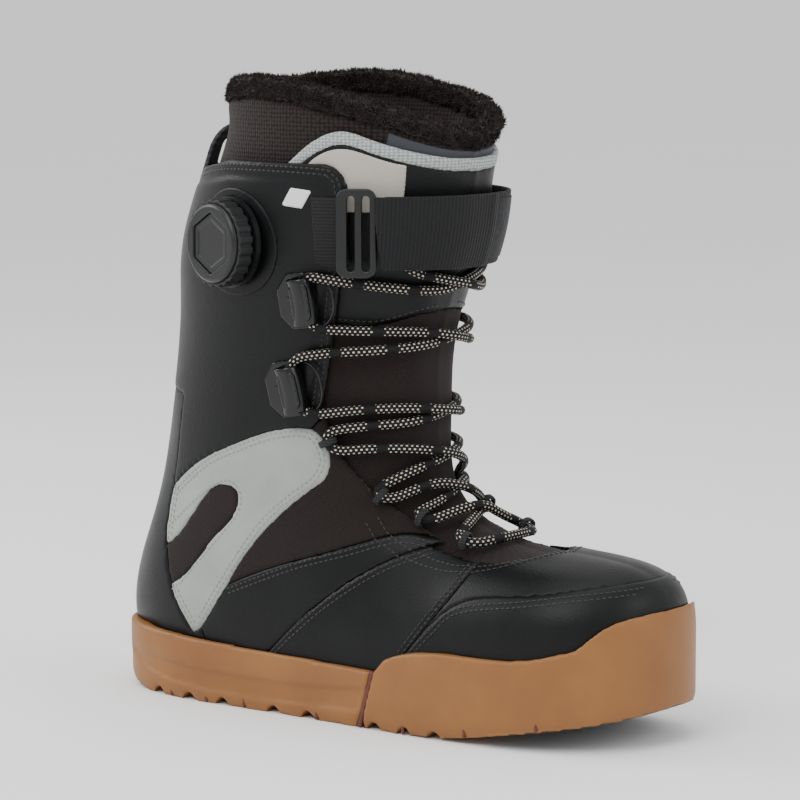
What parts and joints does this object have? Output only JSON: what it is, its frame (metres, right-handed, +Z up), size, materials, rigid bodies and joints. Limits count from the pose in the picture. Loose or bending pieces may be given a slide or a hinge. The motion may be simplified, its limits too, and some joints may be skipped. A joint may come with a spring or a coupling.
{
  "type": "snowboard boot",
  "caption": "High-cut soft snowboard boot with criss-cross lacing, a pull-out tightening dial, a turned-back power strap, a fur-collared liner and a gum cup sole.",
  "frame": {"origin": "on the sole's contact face, on the boot's long centre line and 150 mm in front of the heel", "axes": "+X to the toe, +Y to the inner side of the foot, +Z up"},
  "size_m": [0.3133, 0.1375, 0.3082],
  "materials": {
    "black_leather": "satin",
    "grey_leather": "satin",
    "brown_textile": "matte",
    "grey_knit": "matte",
    "pale_label": "matte",
    "liner_mesh": "matte",
    "liner_smooth": "satin",
    "fur": "matte",
    "foam": "matte",
    "board": "matte",
    "gum_rubber": "matte",
    "dark_rubber": "matte",
    "red_rubber": "matte",
    "black_plastic": "satin",
    "gloss_black": "gloss",
    "grip_rubber": "matte",
    "webbing": "matte",
    "lace_cord": "matte",
    "steel": "satin",
    "white_badge": "satin"
  },
  "bodies": {
    "boot": {"ankle_textile_lateral": "brown_textile", "ankle_textile_medial": "brown_textile", "ankle_window_lateral": "brown_textile", "ankle_window_medial": "brown_textile", "ankle_wing_lateral": "grey_leather", "ankle_wing_medial": "grey_leather", "back_strip": "webbing", "dial_base": "black_plastic", "dial_pawl_ring": "black_plastic", "dial_seat_ring": "black_leather", "flex_strip": "red_rubber", "footbed": "foam", "heel_cover": "black_leather", "hook_rivets": "gloss_black", "insole_board": "board", "lace": "lace_cord", "lace_hook_lower_lateral": "gloss_black", "lace_hook_lower_medial": "gloss_black", "lace_hook_upper_lateral": "gloss_black", "lace_hook_upper_medial": "gloss_black", "lace_loops_lateral": "webbing", "lace_loops_medial": "webbing", "lace_tips": "gloss_black", "liner_front_patch": "liner_smooth", "liner_fur_collar": "fur", "liner_shell": "liner_mesh", "liner_sole": "foam", "midsole": "foam", "outsole_forefoot": "gum_rubber", "outsole_heel": "gum_rubber", "quarter_front_lateral": "black_leather", "quarter_front_medial": "black_leather", "quarter_rear_lateral": "black_leather", "quarter_rear_medial": "black_leather", "rear_pull_tab": "black_leather", "ring_tape": "webbing", "shaft_lateral": "black_leather", "shaft_medial": "black_leather", "shank": "steel", "side_badge": "white_badge", "slit_inserts": "red_rubber", "strap_anchor": "webbing", "strap_base": "webbing", "strap_loop_patch": "black_plastic", "strap_ring": "black_plastic", "toe_cap": "black_leather", "toe_tread_pod": "dark_rubber", "tongue_binding": "grey_knit", "tongue_label": "pale_label", "tongue_lower": "brown_textile", "tongue_upper": "black_leather", "vamp": "black_leather"},
    "dial_shaft": {"dial_axle": "steel"},
    "dial_turning_knob": {"dial_knob": "black_plastic", "dial_grip": "grip_rubber", "dial_cap": "black_plastic"},
    "dial_lace_spool": {"dial_spool": "black_plastic"},
    "strap_flap": {"strap_tail": "webbing", "strap_hook_patch": "black_plastic"}
  },
  "joints": [
    {"name": "dial_pull", "type": "slide", "parent": "boot", "child": "dial_shaft", "axis": [-0.2588, -0.9659, 0], "range_m": [0, 0.0025]},
    {"name": "dial_turn", "type": "hinge", "parent": "dial_shaft", "child": "dial_turning_knob", "pos_m": [-0.056, -0.0545, 0.229], "axis": [-0.2588, -0.9659, 0], "continuous": true},
    {"name": "spool_turn", "type": "hinge", "parent": "boot", "child": "dial_lace_spool", "pos_m": [-0.056, -0.0545, 0.229], "axis": [-0.2588, -0.9659, 0], "continuous": true},
    {"name": "strap_peel", "type": "hinge", "parent": "boot", "child": "strap_flap", "pos_m": [0.0235, -0.0505, 0.234], "axis": [0, 0, -1], "range_deg": [0, 100]}
  ],
  "couplings": [
    {"joint": "spool_turn", "follows": "dial_turn", "ratio": 1}
  ]
}
